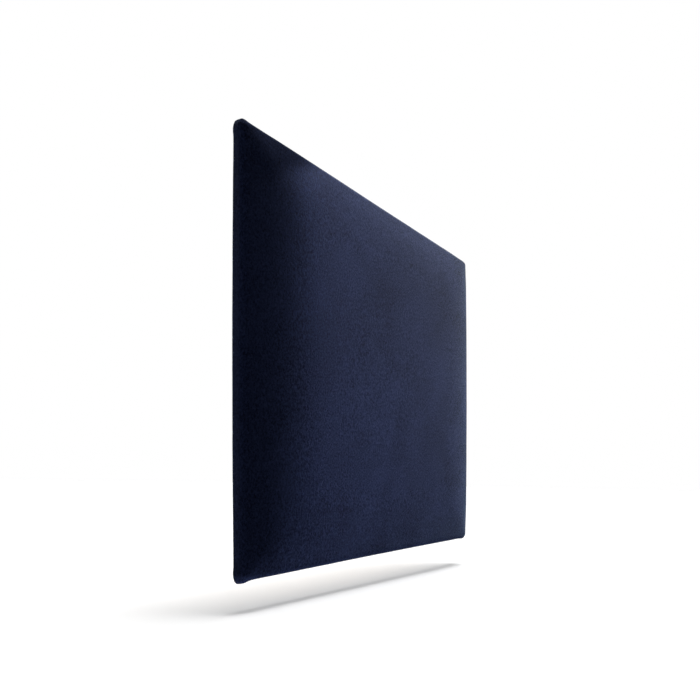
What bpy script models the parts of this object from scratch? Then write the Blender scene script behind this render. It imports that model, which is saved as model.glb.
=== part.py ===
"""Square wall pad: a foam pad on a plywood board, wrapped in wadding and velvet.

The velvet is pulled round the edges of the board and stapled to its back, and the pad hangs
on two keyhole plates that are let into the back of the board.

Metres, +Z up. The wall is the plane Y = 0, the pad stands out from it towards -Y, and the
origin is the middle of the pad's back. "Depth" is a distance from the wall, so Y = -depth.
"""

import math

import bmesh
import bpy
from mathutils import Matrix, Vector

CLEARANCE = 0.0003  # between each piece and the next

# Backing board: birch plywood, with rounded corners.
BOARD_WIDTH = 0.588
BOARD_HEIGHT = 0.588
BOARD_THICKNESS = 0.009
BOARD_CORNER_RADIUS = 0.005

# Foam pad: glued to the front of the board, and drawn down at its edges by the cover.
FOAM_THICKNESS = 0.020  # in the middle of the pad
FOAM_EDGE_HEIGHT = 0.0035  # up to where the edge starts to roll over
FOAM_EDGE_RADIUS = 0.006
CROWN_RUN = 0.045  # how far in from the edge the crown does most of its rise
SIDE_SWELL = 0.0015  # how far each side swells, half way between its corners
CORNER_DROP = 0.002  # how much flatter the pad is pulled at its corners
CORNER_RUN = 0.060  # how far along a side that pull reaches

# Wadding and velvet, one over the other.
WADDING_THICKNESS = 0.0025
VELVET_THICKNESS = 0.0015
HEM_WIDTH = 0.034  # of velvet that is turned onto the back of the board
BACK_EDGE_RADIUS = 0.003  # of the velvet where it turns onto the back

# Staples through the hem.
STAPLE_CROWN = 0.010
STAPLE_LEG = 0.006
STAPLE_WIRE_WIDTH = 0.0010
STAPLE_WIRE_THICKNESS = 0.0007
STAPLE_SINK = 0.0001  # how far the crown is pressed below the face of the velvet
STAPLE_INSET = 0.014  # from the edge of the board to the row of staples
STAPLE_END_SPACE = 0.045  # from the board's corner to the first staple of a row
STAPLES_ACROSS = 8  # in the top row and in the bottom row
STAPLES_UPRIGHT = 8  # in the left row and in the right row
CORNER_STAPLE_INSET = 0.019  # of the staple that holds the folds of a corner

# Keyhole hanger plates: steel, flush with the back of the board.
HANGER_WIDTH = 0.016
HANGER_HEIGHT = 0.050
HANGER_THICKNESS = 0.0015
HANGER_CORNER_RADIUS = 0.003
HANGER_SPACING = 0.360  # between the two keyholes
HANGER_FROM_TOP = 0.090  # from the top of the board to the middle of a plate
KEYHOLE_ENTRY_RADIUS = 0.00475
KEYHOLE_SLOT_WIDTH = 0.005
KEYHOLE_TRAVEL = 0.011  # from the middle of the entry up to the end of the slot's straight part
KEYHOLE_ENTRY_DROP = 0.005  # of the entry below the middle of the plate
HEAD_ROOM_MARGIN = 0.0015  # round the path of the wall screw's head, behind the plate
HEAD_ROOM_DEPTH = 0.0045

# Countersunk screws, two to a plate.
SCREW_INSET = 0.006  # from each end of the plate
SCREW_HEAD_RADIUS = 0.0028
SCREW_HEAD_HEIGHT = 0.0014
SCREW_HEAD_SINK = 0.0001
SCREW_SHANK_RADIUS = 0.0014
SCREW_LENGTH = 0.0070
SCREW_POINT = 0.0020
CROSS_LENGTH = 0.0030
CROSS_WIDTH = 0.0008
CROSS_TIP_WIDTH = 0.0005
CROSS_DEPTH = 0.0008

# How finely the round shapes are cut.
CORNER_STEPS = 3  # to a rounded corner of the pad
SIDE_STEPS = 7  # to a side of the pad
ROLL_STEPS = 3  # round the rolled front edge
BACK_ROLL_STEPS = 2  # round the velvet's back edge
CROWN_STATIONS = (0.014, 0.034, 0.062, 0.105, 0.165)  # in from the roll, up the crown
ARC_STEP = math.radians(20)
TURN_STEPS = 16
CUT_OVERRUN = 0.001  # how far a cut runs out past the face that it opens in

# Depths and offsets that follow from the sizes above.
board_back = VELVET_THICKNESS + CLEARANCE
board_front = board_back + BOARD_THICKNESS
foam_back = board_front + CLEARANCE
roll_depth = foam_back + FOAM_EDGE_HEIGHT
wadding_face = CLEARANCE + WADDING_THICKNESS
velvet_face = wadding_face + CLEARANCE + VELVET_THICKNESS

# The rolled edge runs on into the crown at this slope, and the crown flattens out from there.
edge_slope = math.atan((FOAM_THICKNESS - FOAM_EDGE_HEIGHT - FOAM_EDGE_RADIUS) / CROWN_RUN)
crown_rise = FOAM_THICKNESS - FOAM_EDGE_HEIGHT - FOAM_EDGE_RADIUS * math.cos(edge_slope)
crown_fade = crown_rise / math.tan(edge_slope)


def clear_scene():
    for old in list(bpy.data.objects):
        bpy.data.objects.remove(old)


def new_collection(name):
    collection = bpy.data.collections.new(name)
    bpy.context.scene.collection.children.link(collection)
    return collection


def finish(name, colour, roughness, metallic=0.0):
    """A plain material of this colour."""
    material = bpy.data.materials.new(name)
    material.use_nodes = True
    shader = material.node_tree.nodes["Principled BSDF"]
    shader.inputs["Base Color"].default_value = (*colour, 1.0)
    shader.inputs["Roughness"].default_value = roughness
    shader.inputs["Metallic"].default_value = metallic
    return material


def add_part(name, mesh, material, smooth_below=None):
    """A piece of the pad as an object of its own. Edges flatter than smooth_below are shaded smooth."""
    mesh.name = name
    mesh.materials.clear()
    mesh.materials.append(material)
    if smooth_below is not None:
        mesh.shade_smooth()
        mesh.set_sharp_from_angle(angle=smooth_below)
    part = bpy.data.objects.new(name, mesh)
    parts.objects.link(part)
    return part


def add_cutter(name, mesh):
    mesh.name = name
    cutter = bpy.data.objects.new(name, mesh)
    cutter.hide_render = True
    cutter.display_type = "WIRE"
    cutters.objects.link(cutter)
    return cutter


def cut(part, cutter):
    """Cut the shape of cutter out of part."""
    boolean = part.modifiers.new(cutter.name, "BOOLEAN")
    boolean.operation = "DIFFERENCE"
    boolean.solver = "EXACT"
    boolean.object = cutter


def arc(centre_x, centre_y, radius, start, end):
    """Points along an arc, both ends included."""
    steps = max(1, math.ceil(abs(end - start) / ARC_STEP))
    angles = [start + (end - start) * step / steps for step in range(steps + 1)]
    return [(centre_x + radius * math.cos(a), centre_y + radius * math.sin(a)) for a in angles]


def rounded_rectangle(width, height, radius):
    """Anticlockwise outline of a rectangle with round corners."""
    points = []
    for quarter, (side_x, side_y) in enumerate(((1, 1), (-1, 1), (-1, -1), (1, -1))):
        centre_x = side_x * (width / 2 - radius)
        centre_y = side_y * (height / 2 - radius)
        start = quarter * math.pi / 2
        points += arc(centre_x, centre_y, radius, start, start + math.pi / 2)
    return points


def upright_capsule(radius, bottom, top):
    """Outline of a slot with round ends, whose end centres are at bottom and top."""
    return arc(0, top, radius, 0, math.pi) + arc(0, bottom, radius, math.pi, 2 * math.pi)


def extruded(outlines, thickness):
    """A flat plate in the local XY plane, centred on it. The outlines inside the first are holes."""
    curve = bpy.data.curves.new("outline", "CURVE")
    curve.dimensions = "2D"
    curve.fill_mode = "BOTH"
    curve.extrude = thickness / 2
    for outline in outlines:
        spline = curve.splines.new("POLY")
        spline.points.add(len(outline) - 1)
        for point, (x, y) in zip(spline.points, outline):
            point.co = (x, y, 0, 1)
        spline.use_cyclic_u = True
    holder = bpy.data.objects.new("outline", curve)
    mesh = evaluated_mesh(holder)
    bpy.data.curves.remove(curve)
    return mesh


def turned(profile):
    """A solid turned about the local Z axis, from (radius, height) points that run top to bottom."""
    mesh = bpy.data.meshes.new("profile")
    points = [(radius, 0, height) for radius, height in profile]
    mesh.from_pydata(points, [(i, i + 1) for i in range(len(points) - 1)], [])
    holder = bpy.data.objects.new("profile", mesh)
    screw = holder.modifiers.new("turn", "SCREW")
    screw.axis = "Z"
    screw.steps = TURN_STEPS
    screw.render_steps = TURN_STEPS
    screw.use_merge_vertices = True
    screw.merge_threshold = 0.00001
    turned_mesh = evaluated_mesh(holder)
    bpy.data.meshes.remove(mesh)
    return turned_mesh


def evaluated_mesh(holder):
    """The mesh that an object's curve or modifiers make, welded into one closed body."""
    bpy.context.scene.collection.objects.link(holder)
    depsgraph = bpy.context.evaluated_depsgraph_get()
    mesh = bpy.data.meshes.new_from_object(holder.evaluated_get(depsgraph))
    bpy.data.objects.remove(holder)
    body = bmesh.new()
    body.from_mesh(mesh)
    bmesh.ops.remove_doubles(body, verts=body.verts, dist=0.000001)
    body.to_mesh(mesh)
    body.free()
    return mesh


def copies(mesh, places):
    """One mesh with a copy of the given one at each place, for a cut that repeats."""
    joined = bmesh.new()
    for place in places:
        copy = mesh.copy()
        copy.transform(place)
        joined.from_mesh(copy)
        bpy.data.meshes.remove(copy)
    mesh = bpy.data.meshes.new("copies")
    joined.to_mesh(mesh)
    joined.free()
    return mesh


def upright(x, depth, z):
    """Stands a local XY outline up against the wall, facing it, with its middle at this place."""
    return Matrix.Translation((x, -depth, z)) @ Matrix.Rotation(math.pi / 2, 4, "X")


def ring(reach, depth, swell=0.0, pull=0.0):
    """One closed row of points round the pad, anticlockwise from in front.

    reach is how far it lies outside the edge of the board, inside it when negative. swell is
    the share of the sides' swelling it takes, and pull its share of the corners' drop.
    """
    half_x = BOARD_WIDTH / 2 + reach
    half_z = BOARD_HEIGHT / 2 + reach
    radius = BOARD_CORNER_RADIUS + max(reach, -reach / 2)
    low = -depth + CORNER_DROP * pull
    corner_centres = [
        Vector((side_x * (half_x - radius), low, side_z * (half_z - radius)))
        for side_x, side_z in ((1, 1), (-1, 1), (-1, -1), (1, -1))
    ]
    points = []
    for index, centre in enumerate(corner_centres):
        for step in range(CORNER_STEPS + 1):
            angle = (index + step / CORNER_STEPS) * math.pi / 2
            points.append(centre + radius * Vector((math.cos(angle), 0, math.sin(angle))))
        outwards = Vector((math.cos(angle), 0, math.sin(angle)))
        start = points[-1]
        end = corner_centres[(index + 1) % 4] + radius * outwards
        length = (end - start).length
        for step in range(1, SIDE_STEPS):
            share = step / SIDE_STEPS
            from_corner = min(share, 1 - share) * length
            point = start.lerp(end, share)
            point += outwards * SIDE_SWELL * swell * 4 * share * (1 - share)
            point.y = -depth + CORNER_DROP * pull * math.exp(-from_corner / CORNER_RUN)
            points.append(point)
    return points


def front_rings(offset):
    """The rolled edge and the crown, offset outwards from the foam's own surface."""
    rings = []
    roll_turn = math.pi / 2 - edge_slope
    for step in range(ROLL_STEPS + 1):
        turn = roll_turn * step / ROLL_STEPS
        radius = FOAM_EDGE_RADIUS + offset
        reach = radius * math.cos(turn) - FOAM_EDGE_RADIUS
        rings.append(ring(reach, roll_depth + radius * math.sin(turn), 1.0, 1.0))
    roll_end = FOAM_EDGE_RADIUS * (1 - math.sin(edge_slope))
    for run in CROWN_STATIONS:
        fade = math.exp(-run / crown_fade)
        slope = math.atan(crown_rise * fade / crown_fade)
        depth = foam_back + FOAM_THICKNESS - crown_rise * fade + offset * math.cos(slope)
        reach = offset * math.sin(slope) - roll_end - run
        rings.append(ring(reach, depth, fade, fade))
    return rings


def lofted(rings, closed_back):
    """A skin through the rings, closed at the front and, for a solid, at the back."""
    count = len(rings[0])
    mesh = bpy.data.meshes.new("loft")
    points = [point for row in rings for point in row]
    faces = [
        (row + i, row + (i + 1) % count, row + count + (i + 1) % count, row + count + i)
        for row in range(0, count * (len(rings) - 1), count)
        for i in range(count)
    ]
    faces.append(range(count * (len(rings) - 1), count * len(rings)))
    if closed_back:
        faces.append(range(count - 1, -1, -1))
    mesh.from_pydata(points, [], faces)
    return mesh


def give_thickness(part, thickness):
    """Turn an outer skin into a layer of this thickness, measured inwards."""
    solidify = part.modifiers.new("layer", "SOLIDIFY")
    solidify.thickness = thickness
    solidify.offset = -1
    solidify.use_even_offset = True


def make_foam():
    rings = [ring(0.0, foam_back)] + front_rings(0.0)
    add_part("foam_pad", lofted(rings, closed_back=True), foam, math.radians(40))


def make_wadding():
    """A sheet of wadding over the foam and down the edges of the board, open at the back."""
    rings = [ring(wadding_face, BACK_EDGE_RADIUS)] + front_rings(wadding_face)
    layer = add_part("wadding_layer", lofted(rings, closed_back=False), wadding, math.radians(40))
    give_thickness(layer, WADDING_THICKNESS)


def make_velvet_cover():
    """Velvet over the front and the sides, turned onto the back of the board as a hem."""
    turn_in = velvet_face - BACK_EDGE_RADIUS
    hem_edge = ring(velvet_face - HEM_WIDTH, 0.0)
    back_edge = [
        ring(
            turn_in + BACK_EDGE_RADIUS * math.sin(step / BACK_ROLL_STEPS * math.pi / 2),
            BACK_EDGE_RADIUS * (1 - math.cos(step / BACK_ROLL_STEPS * math.pi / 2)),
        )
        for step in range(BACK_ROLL_STEPS + 1)
    ]
    rings = [hem_edge] + back_edge + front_rings(velvet_face)
    cover = add_part("velvet_cover", lofted(rings, closed_back=False), velvet, math.radians(40))
    give_thickness(cover, VELVET_THICKNESS)
    cut(cover, staple_slots)


def staple_outline(grow, overrun):
    """A staple lying in the local XY plane, crown on the X axis and legs down, made larger all round."""
    half = STAPLE_CROWN / 2 + grow
    inner = STAPLE_CROWN / 2 - STAPLE_WIRE_THICKNESS - grow
    crown_back = -STAPLE_WIRE_THICKNESS - grow
    tip = -STAPLE_LEG - grow
    return [
        (-half, overrun),
        (-half, tip),
        (-inner, tip),
        (-inner, crown_back),
        (inner, crown_back),
        (inner, tip),
        (half, tip),
        (half, overrun),
    ]


def staple_places():
    """The name and the place of every staple, named as seen from in front of the pad."""
    places = {}
    half_x = BOARD_WIDTH / 2
    half_z = BOARD_HEIGHT / 2
    for side, sign in (("top", 1), ("bottom", -1)):
        span = half_x - STAPLE_END_SPACE
        for i in range(STAPLES_ACROSS):
            x = -span + 2 * span * i / (STAPLES_ACROSS - 1)
            middle = Vector((x, -STAPLE_SINK, sign * (half_z - STAPLE_INSET)))
            places[f"staple_{side}_{i + 1}"] = Matrix.Translation(middle)
    for side, sign in (("left", -1), ("right", 1)):
        span = half_z - STAPLE_END_SPACE
        for i in range(STAPLES_UPRIGHT):
            z = span - 2 * span * i / (STAPLES_UPRIGHT - 1)
            middle = Vector((sign * (half_x - STAPLE_INSET), -STAPLE_SINK, z))
            turn = Matrix.Rotation(math.pi / 2, 4, "Y")
            places[f"staple_{side}_{i + 1}"] = Matrix.Translation(middle) @ turn
    for end, sign_z in (("upper", 1), ("lower", -1)):
        for side, sign_x in (("left", -1), ("right", 1)):
            x = sign_x * (half_x - CORNER_STAPLE_INSET)
            z = sign_z * (half_z - CORNER_STAPLE_INSET)
            turn = Matrix.Rotation(sign_x * sign_z * math.pi / 4, 4, "Y")
            place = Matrix.Translation((x, -STAPLE_SINK, z)) @ turn
            places[f"staple_corner_{end}_{side}"] = place
    return places


def cut_staple_slots():
    """The slots that the staples have pressed and driven into the velvet and the board."""
    outline = staple_outline(CLEARANCE, CUT_OVERRUN)
    slot = extruded([outline], STAPLE_WIRE_WIDTH + 2 * CLEARANCE)
    return add_cutter("staple_slots", copies(slot, staple_places().values()))


def make_staples():
    staple = extruded([staple_outline(0.0, 0.0)], STAPLE_WIRE_WIDTH)
    for name, place in staple_places().items():
        part = add_part(name, staple, wire)
        part.matrix_world = place


def keyhole_outline():
    """Round entry with a narrow slot above it, in the plate's own plane."""
    half_slot = KEYHOLE_SLOT_WIDTH / 2
    meets = math.asin(half_slot / KEYHOLE_ENTRY_RADIUS)
    low = -KEYHOLE_ENTRY_DROP
    slot_end = arc(0, low + KEYHOLE_TRAVEL, half_slot, 0, math.pi)
    start = math.pi / 2 + meets
    entry = arc(0, low, KEYHOLE_ENTRY_RADIUS, start, start + 2 * (math.pi - meets))
    return slot_end + entry


def hanger_places():
    """The middle of each keyhole plate, left and right as seen from in front."""
    z = BOARD_HEIGHT / 2 - HANGER_FROM_TOP
    return {"left": (-HANGER_SPACING / 2, z), "right": (HANGER_SPACING / 2, z)}


def screw_places():
    """The place of every hanger screw, with its local Z axis pointing out of the board's back."""
    places = {}
    out_of_back = Matrix.Rotation(-math.pi / 2, 4, "X")
    reach = HANGER_HEIGHT / 2 - SCREW_INSET
    for side, (x, z) in hanger_places().items():
        for end, sign in (("upper", 1), ("lower", -1)):
            middle = (x, -board_back - SCREW_HEAD_SINK, z + sign * reach)
            places[f"hanger_screw_{side}_{end}"] = Matrix.Translation(middle) @ out_of_back
    return places


def screw_profile(grow, overrun):
    """A countersunk screw from the top of its head down to its point, made larger all round."""
    head = SCREW_HEAD_RADIUS + grow
    shank = SCREW_SHANK_RADIUS + grow
    neck = -SCREW_HEAD_HEIGHT - grow
    tip = -SCREW_LENGTH - grow
    rim = [(head, overrun), (head, 0.0)] if overrun else [(head, 0.0)]
    return [(0, overrun)] + rim + [(shank, neck), (shank, tip + SCREW_POINT), (0, tip)]


def cut_screw_holes():
    """Countersunk holes through the plates and pilot holes in the board."""
    hole = turned(screw_profile(CLEARANCE, CUT_OVERRUN))
    return add_cutter("screw_holes", copies(hole, screw_places().values()))


def cross_outline():
    """The cross recess of a screw, whose four wings taper towards their tips."""
    reach = CROSS_LENGTH / 2
    tip = CROSS_TIP_WIDTH / 2
    root = CROSS_WIDTH / 2
    points = []
    for quarter in range(4):
        turn = Matrix.Rotation(quarter * math.pi / 2, 2)
        points += [turn @ Vector(corner) for corner in ((reach, -tip), (reach, tip), (root, root))]
    return points


def make_hanger_screws():
    cross = extruded([cross_outline()], 2 * CROSS_DEPTH)
    recesses = add_cutter("cross_recesses", copies(cross, screw_places().values()))
    screw = turned(screw_profile(0.0, 0.0))
    for name, place in screw_places().items():
        part = add_part(name, screw, zinc, math.radians(40))
        part.matrix_world = place
        cut(part, recesses)


def make_hanger_plates():
    outline = rounded_rectangle(HANGER_WIDTH, HANGER_HEIGHT, HANGER_CORNER_RADIUS)
    plate = extruded([outline, keyhole_outline()], HANGER_THICKNESS)
    for side, (x, z) in hanger_places().items():
        part = add_part(f"hanger_plate_{side}", plate.copy(), zinc)
        part.matrix_world = upright(x, board_back + HANGER_THICKNESS / 2, z)
        cut(part, screw_holes)


def cut_hanger_recesses():
    """Shallow recesses in the board for the plates."""
    outline = rounded_rectangle(
        HANGER_WIDTH + 2 * CLEARANCE,
        HANGER_HEIGHT + 2 * CLEARANCE,
        HANGER_CORNER_RADIUS + CLEARANCE,
    )
    back = board_back - CUT_OVERRUN
    front = board_back + HANGER_THICKNESS + CLEARANCE
    recess = extruded([outline], front - back)
    places = [upright(x, (back + front) / 2, z) for x, z in hanger_places().values()]
    return add_cutter("hanger_recesses", copies(recess, places))


def cut_head_rooms():
    """Deeper pockets behind the keyholes, where the heads of the wall screws travel."""
    radius = KEYHOLE_ENTRY_RADIUS + HEAD_ROOM_MARGIN
    low = -KEYHOLE_ENTRY_DROP
    back = board_back - CUT_OVERRUN
    front = board_back + HANGER_THICKNESS + HEAD_ROOM_DEPTH
    room = extruded([upright_capsule(radius, low, low + KEYHOLE_TRAVEL)], front - back)
    places = [upright(x, (back + front) / 2, z) for x, z in hanger_places().values()]
    return add_cutter("head_rooms", copies(room, places))


def make_backing_board():
    outline = rounded_rectangle(BOARD_WIDTH, BOARD_HEIGHT, BOARD_CORNER_RADIUS)
    board = add_part("backing_board", extruded([outline], BOARD_THICKNESS), plywood)
    board.matrix_world = upright(0, board_back + BOARD_THICKNESS / 2, 0)
    for cutter in (hanger_recesses, head_rooms, screw_holes, staple_slots):
        cut(board, cutter)


clear_scene()
parts = new_collection("wall_pad")
cutters = new_collection("cuts")

plywood = finish("birch_plywood", (0.55, 0.38, 0.22), 0.7)
foam = finish("foam", (0.72, 0.68, 0.52), 0.95)
wadding = finish("wadding", (0.85, 0.85, 0.83), 0.95)
velvet = finish("navy_velvet", (0.024, 0.031, 0.067), 0.9)
wire = finish("staple_wire", (0.62, 0.62, 0.63), 0.35, 1.0)
zinc = finish("zinc_plated_steel", (0.58, 0.59, 0.60), 0.4, 1.0)

staple_slots = cut_staple_slots()
screw_holes = cut_screw_holes()
hanger_recesses = cut_hanger_recesses()
head_rooms = cut_head_rooms()

make_backing_board()
make_foam()
make_wadding()
make_velvet_cover()
make_hanger_plates()
make_hanger_screws()
make_staples()
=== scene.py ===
import math

import bpy
import numpy as np
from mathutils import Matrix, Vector, noise


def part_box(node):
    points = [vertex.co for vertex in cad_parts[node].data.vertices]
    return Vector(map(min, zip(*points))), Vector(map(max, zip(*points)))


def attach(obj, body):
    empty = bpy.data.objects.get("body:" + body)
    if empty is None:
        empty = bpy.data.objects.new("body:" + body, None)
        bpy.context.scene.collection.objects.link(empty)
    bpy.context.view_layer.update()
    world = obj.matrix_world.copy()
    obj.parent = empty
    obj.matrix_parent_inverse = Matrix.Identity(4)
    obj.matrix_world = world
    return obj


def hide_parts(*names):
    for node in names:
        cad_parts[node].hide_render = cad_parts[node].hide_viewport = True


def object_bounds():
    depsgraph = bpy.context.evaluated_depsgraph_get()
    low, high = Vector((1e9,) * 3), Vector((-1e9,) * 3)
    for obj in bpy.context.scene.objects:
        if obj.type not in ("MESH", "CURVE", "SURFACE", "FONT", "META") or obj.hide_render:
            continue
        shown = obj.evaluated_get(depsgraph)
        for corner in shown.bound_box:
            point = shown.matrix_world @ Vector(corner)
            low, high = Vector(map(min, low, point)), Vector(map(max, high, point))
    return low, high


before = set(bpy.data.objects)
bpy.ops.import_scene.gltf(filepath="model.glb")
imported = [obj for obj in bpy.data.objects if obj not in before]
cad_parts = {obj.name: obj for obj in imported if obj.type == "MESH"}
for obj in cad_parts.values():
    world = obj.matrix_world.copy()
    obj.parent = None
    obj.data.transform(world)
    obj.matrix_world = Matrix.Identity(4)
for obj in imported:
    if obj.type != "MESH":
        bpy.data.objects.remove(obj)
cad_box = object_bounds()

# ---------------------------------------------------------------------------------------------
# Backing board: 9 mm birch plywood. Its back face shows inside the hem, with straight grain that
# runs up the pad, small dark flecks, and sawn edges on which the plies show as stripes.
# ---------------------------------------------------------------------------------------------
PLY_COUNT = 7
RINGS_PER_METRE = 46.0
RING_BEND = 9.0
FACE_PALE = (0.66, 0.49, 0.30)
FACE_DARK = (0.50, 0.33, 0.18)
PLY_DARK = (0.34, 0.20, 0.10)
WOOD_DUST = (0.72, 0.66, 0.56)


def add(tree, kind, links=None, **settings):
    """Add a node. links gives values or other sockets for its inputs, by name or number."""
    node = tree.nodes.new(kind)
    for name, value in settings.items():
        setattr(node, name, value)
    for key, value in (links or {}).items():
        if isinstance(value, bpy.types.NodeSocket):
            tree.links.new(value, node.inputs[key])
        else:
            node.inputs[key].default_value = value
    return node


def calculate(tree, operation, first, second=0.0, third=0.0):
    links = {0: first, 1: second, 2: third}
    return add(tree, "ShaderNodeMath", links, operation=operation).outputs[0]


def weigh(tree, first, first_share, second, second_share):
    """Two values added up, each with its own share."""
    rest = calculate(tree, "MULTIPLY", second, second_share)
    return calculate(tree, "MULTIPLY_ADD", first, first_share, rest)


def blend_colours(tree, share, first, second):
    rgba = [(*c, 1.0) if isinstance(c, tuple) and len(c) == 3 else c for c in (first, second)]
    links = {0: share, 6: rgba[0], 7: rgba[1]}
    return add(tree, "ShaderNodeMix", links, data_type="RGBA").outputs[2]


def remap(tree, value, low, high, to_low=0.0, to_high=1.0):
    links = {0: value, 1: low, 2: high, 3: to_low, 4: to_high}
    return add(tree, "ShaderNodeMapRange", links).outputs[0]


def own_position(tree):
    """The object's own coordinates."""
    return add(tree, "ShaderNodeTexCoord").outputs["Object"]


def stretched_position(tree, scale):
    """The object's own coordinates, squeezed or stretched along each axis."""
    links = {"Vector": own_position(tree), "Scale": scale}
    return add(tree, "ShaderNodeMapping", links).outputs[0]


def noise_value(tree, place, scale, **values):
    """A noise texture's value at this place. values are its other inputs."""
    links = {"Vector": place, "Scale": scale, **values}
    return add(tree, "ShaderNodeTexNoise", links).outputs[0]


def new_material(name, slot_roughness=0.8, metallic=0.0):
    material = bpy.data.materials.new(name)
    material.use_nodes = True
    shader = material.node_tree.nodes["Principled BSDF"]
    shader.inputs["Roughness"].default_value = slot_roughness
    shader.inputs["Metallic"].default_value = metallic
    return material, material.node_tree, shader


def give_bump(tree, shader, height, distance, strength=1.0):
    links = {"Height": height, "Distance": distance, "Strength": strength}
    tree.links.new(add(tree, "ShaderNodeBump", links).outputs[0], shader.inputs["Normal"])


def shader_group(name, inputs, outputs):
    """An empty node group with these float or vector inputs and float outputs."""
    group = bpy.data.node_groups.new(name, "ShaderNodeTree")
    for label, value in inputs.items():
        kind = "NodeSocketVector" if value is None else "NodeSocketFloat"
        socket = group.interface.new_socket(label, in_out="INPUT", socket_type=kind)
        if value is not None:
            socket.default_value = value
    for label in outputs:
        group.interface.new_socket(label, in_out="OUTPUT", socket_type="NodeSocketFloat")
    given = group.nodes.new("NodeGroupInput").outputs
    return group, given, group.nodes.new("NodeGroupOutput").inputs


# Dust and lint: tiny pale specks that any of the pad's surfaces may carry.
dust, dust_in, dust_out = shader_group(
    "dust", {"Position": None, "Scale": 400.0, "Amount": 0.3}, ["Mask"]
)
specks = noise_value(dust, dust_in["Position"], dust_in["Scale"])
patches = noise_value(dust, dust_in["Position"], 14.0)
few = remap(dust, specks, 0.70, 0.78)
here = remap(dust, patches, 0.42, 0.68)
specks_here = calculate(dust, "MULTIPLY", few, here)
dust.links.new(calculate(dust, "MULTIPLY", specks_here, dust_in["Amount"]), dust_out["Mask"])


def place_group(tree, group, values):
    """Put a shader group into a material with its own values."""
    return add(tree, "ShaderNodeGroup", values, node_tree=group).outputs


def make_plywood():
    material, tree, shader = new_material("birch_plywood", 0.62)
    board_low, board_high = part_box("backing_board")
    place = own_position(tree)
    axes = add(tree, "ShaderNodeSeparateXYZ", {0: place}).outputs
    broad = noise_value(tree, stretched_position(tree, (9.0, 9.0, 0.9)), 1.0, Detail=3.0)
    fine = noise_value(tree, stretched_position(tree, (900.0, 900.0, 14.0)), 1.0, Detail=4.0)
    waves = weigh(tree, axes["X"], RINGS_PER_METRE, broad, RING_BEND)
    rings = calculate(tree, "PINGPONG", waves, 1.0)
    grain = weigh(tree, fine, 0.55, rings, 0.45)
    face = blend_colours(tree, remap(tree, grain, 0.3, 0.75), FACE_DARK, FACE_PALE)
    flecks = add(
        tree,
        "ShaderNodeTexVoronoi",
        {"Vector": stretched_position(tree, (700.0, 700.0, 60.0)), "Scale": 1.0},
    ).outputs["Distance"]
    face = blend_colours(tree, remap(tree, flecks, 0.10, 0.0, 0.0, 0.45), face, PLY_DARK)
    depth = remap(tree, axes["Y"], board_low[1], board_high[1])
    stripe = calculate(tree, "PINGPONG", calculate(tree, "MULTIPLY", depth, PLY_COUNT), 1.0)
    edge = blend_colours(tree, remap(tree, stripe, 0.35, 0.65), FACE_PALE, PLY_DARK)
    normal = add(tree, "ShaderNodeNewGeometry").outputs["Normal"]
    facing = add(tree, "ShaderNodeSeparateXYZ", {0: normal}).outputs["Y"]
    sideways = remap(tree, calculate(tree, "ABSOLUTE", facing), 0.8, 0.5)
    colour = blend_colours(tree, sideways, face, edge)
    dusty = place_group(tree, dust, {"Position": place, "Scale": 300.0, "Amount": 0.5})["Mask"]
    colour = blend_colours(tree, dusty, colour, WOOD_DUST)
    tree.links.new(colour, shader.inputs["Base Color"])
    tree.links.new(remap(tree, grain, 0.2, 0.8, 0.72, 0.55), shader.inputs["Roughness"])
    give_bump(tree, shader, calculate(tree, "SUBTRACT", grain, sideways), 0.00008)
    return material


def refinish(node_name, material):
    """Give a CAD piece that stays as it is its real material."""
    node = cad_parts[node_name]
    node.data.materials.clear()
    node.data.materials.append(material)


refinish("backing_board", make_plywood())

# ---------------------------------------------------------------------------------------------
# Keyhole plates and their countersunk screws: thin steel, zinc plated, pressed and drilled. The
# plating has a crystal bloom, fine scratches and a little dust.
# ---------------------------------------------------------------------------------------------
ZINC_BRIGHT = (0.56, 0.57, 0.58)
ZINC_DULL = (0.36, 0.37, 0.39)
METAL_DUST = (0.5, 0.48, 0.45)

# Metal wear: a patchy bloom over the surface, and fine scratches along one axis.
metal_wear, wear_in, wear_out = shader_group(
    "metal_wear", {"Position": None, "Bloom Scale": 260.0, "Scratches": 0.5}, ["Bloom", "Height"]
)
bloom = add(
    metal_wear,
    "ShaderNodeTexVoronoi",
    {"Vector": wear_in["Position"], "Scale": wear_in["Bloom Scale"], "Randomness": 1.0},
).outputs["Color"]
bloom_value = add(metal_wear, "ShaderNodeSeparateColor", {0: bloom}).outputs[0]
cloud = noise_value(metal_wear, wear_in["Position"], 90.0, Detail=4.0)
squeezed = add(
    metal_wear,
    "ShaderNodeMapping",
    {"Vector": wear_in["Position"], "Scale": (3000.0, 3000.0, 90.0)},
).outputs[0]
scratch = remap(metal_wear, noise_value(metal_wear, squeezed, 1.0), 0.6, 0.75)
metal_wear.links.new(weigh(metal_wear, bloom_value, 0.5, cloud, 0.5), wear_out["Bloom"])
scratched = calculate(metal_wear, "MULTIPLY", scratch, wear_in["Scratches"])
metal_wear.links.new(scratched, wear_out["Height"])


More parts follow.
